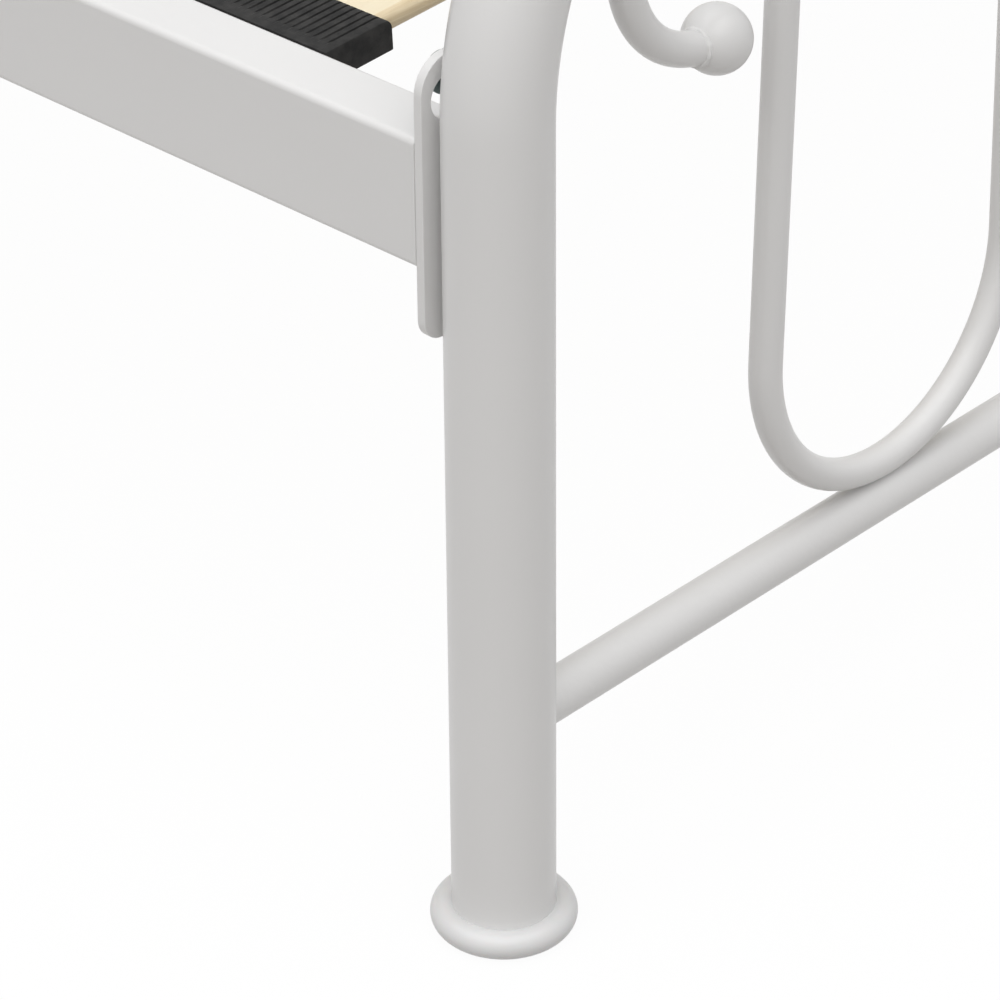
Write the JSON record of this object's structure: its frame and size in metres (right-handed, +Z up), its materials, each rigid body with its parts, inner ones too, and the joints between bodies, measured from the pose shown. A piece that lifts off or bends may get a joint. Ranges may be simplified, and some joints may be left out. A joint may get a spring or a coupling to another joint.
{
  "type": "daybed",
  "caption": "White tubular steel daybed with swept arms, looped and scrolled end and back panels, box side rails and a sprung wooden slat base.",
  "frame": {"origin": "on the floor, midway between the four feet", "axes": "+X along the bed towards its right end as seen from the open front, +Y from the open front to the back panel, +Z up"},
  "size_m": [2.0976, 1.0138, 0.9767],
  "materials": {
    "frame": "glossy white powder coat",
    "foot": "glossy white moulded plastic",
    "fastener": "dark zinc plating",
    "holder": "matt black ribbed plastic",
    "slat": "clear-lacquered birch plywood"
  },
  "bodies": {
    "root": {"right_front_post": "frame", "right_rear_post": "frame", "right_crossbar": "frame", "right_loop_front": "frame", "right_loop_middle": "frame", "right_loop_rear": "frame", "right_bridges": "frame", "right_scrolls": "frame", "right_scroll_balls": "frame", "right_foot_caps": "foot", "right_finial": "frame", "left_front_post": "frame", "left_rear_post": "frame", "left_crossbar": "frame", "left_loop_front": "frame", "left_loop_middle": "frame", "left_loop_rear": "frame", "left_bridges": "frame", "left_scrolls": "frame", "left_scroll_balls": "frame", "left_foot_caps": "foot", "left_finial": "frame", "front_rail": "frame", "rear_rail": "frame", "front_right_hook": "frame", "front_left_hook": "frame", "rear_right_hook": "frame", "rear_left_hook": "frame", "hook_bolts": "fastener", "hook_washers": "fastener", "hook_rivet_nuts": "fastener", "front_slat_holders": "holder", "rear_slat_holders": "holder", "slat_1": "slat", "slat_2": "slat", "slat_3": "slat", "slat_4": "slat", "slat_5": "slat", "slat_6": "slat", "slat_7": "slat", "slat_8": "slat", "slat_9": "slat", "slat_10": "slat", "slat_11": "slat", "slat_12": "slat", "slat_13": "slat", "slat_14": "slat", "back_top_rail": "frame", "back_lower_rail": "frame", "back_loop_1": "frame", "back_loop_2": "frame", "back_loop_3": "frame", "back_loop_4": "frame", "back_loop_5": "frame", "back_loop_6": "frame", "back_loop_7": "frame", "back_bridges": "frame", "back_scrolls": "frame", "back_scroll_balls": "frame", "back_hooks": "frame"}
  },
  "joints": []
}
